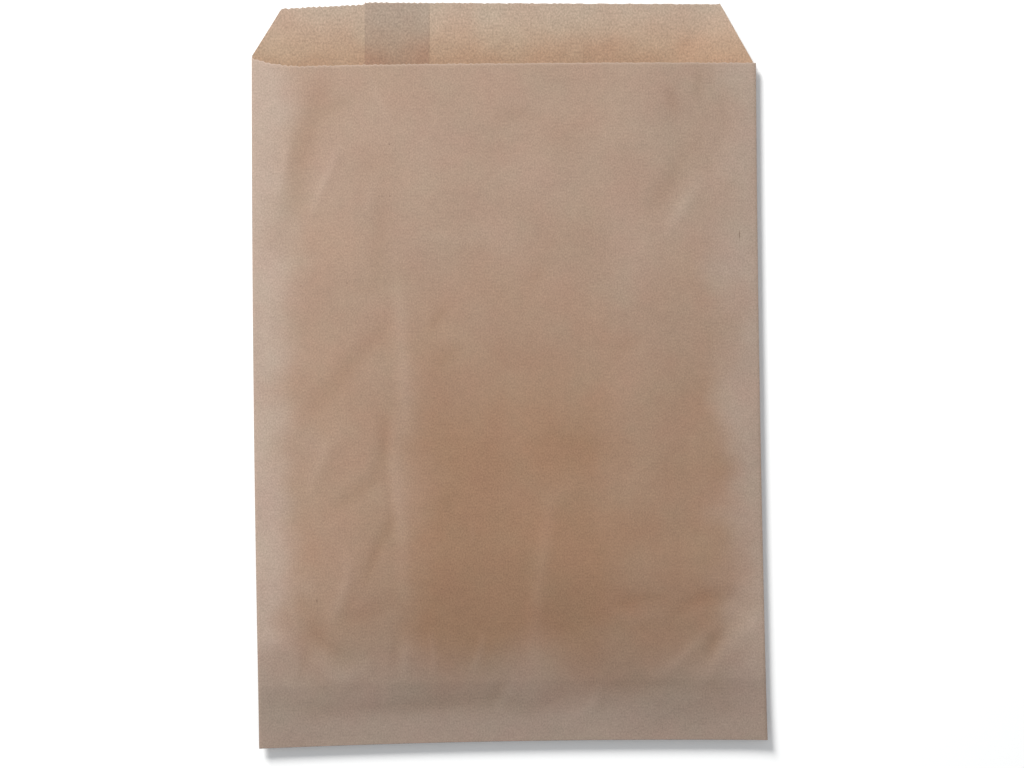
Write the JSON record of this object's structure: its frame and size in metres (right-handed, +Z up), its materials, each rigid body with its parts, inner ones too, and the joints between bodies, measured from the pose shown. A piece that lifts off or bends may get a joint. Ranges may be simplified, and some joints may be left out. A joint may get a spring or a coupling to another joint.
{
  "type": "bakery paper bag",
  "caption": "Flat kraft paper bag with a glued back seam, a folded and glued bottom flap and a toothed mouth whose back stands above the front as a lip.",
  "frame": {"origin": "middle of the bag's outline, on the surface that the bag's back lies on", "axes": "+Y along the bag and out of its mouth, +X across it to the right as the front is seen, +Z up out of the front"},
  "size_m": [0.236, 0.3455, 0.0098],
  "materials": {
    "kraft_paper": "brown machine-glazed kraft, matt, softly wrinkled"
  },
  "bodies": {
    "root": {"paper_bag": "kraft_paper"}
  },
  "joints": []
}
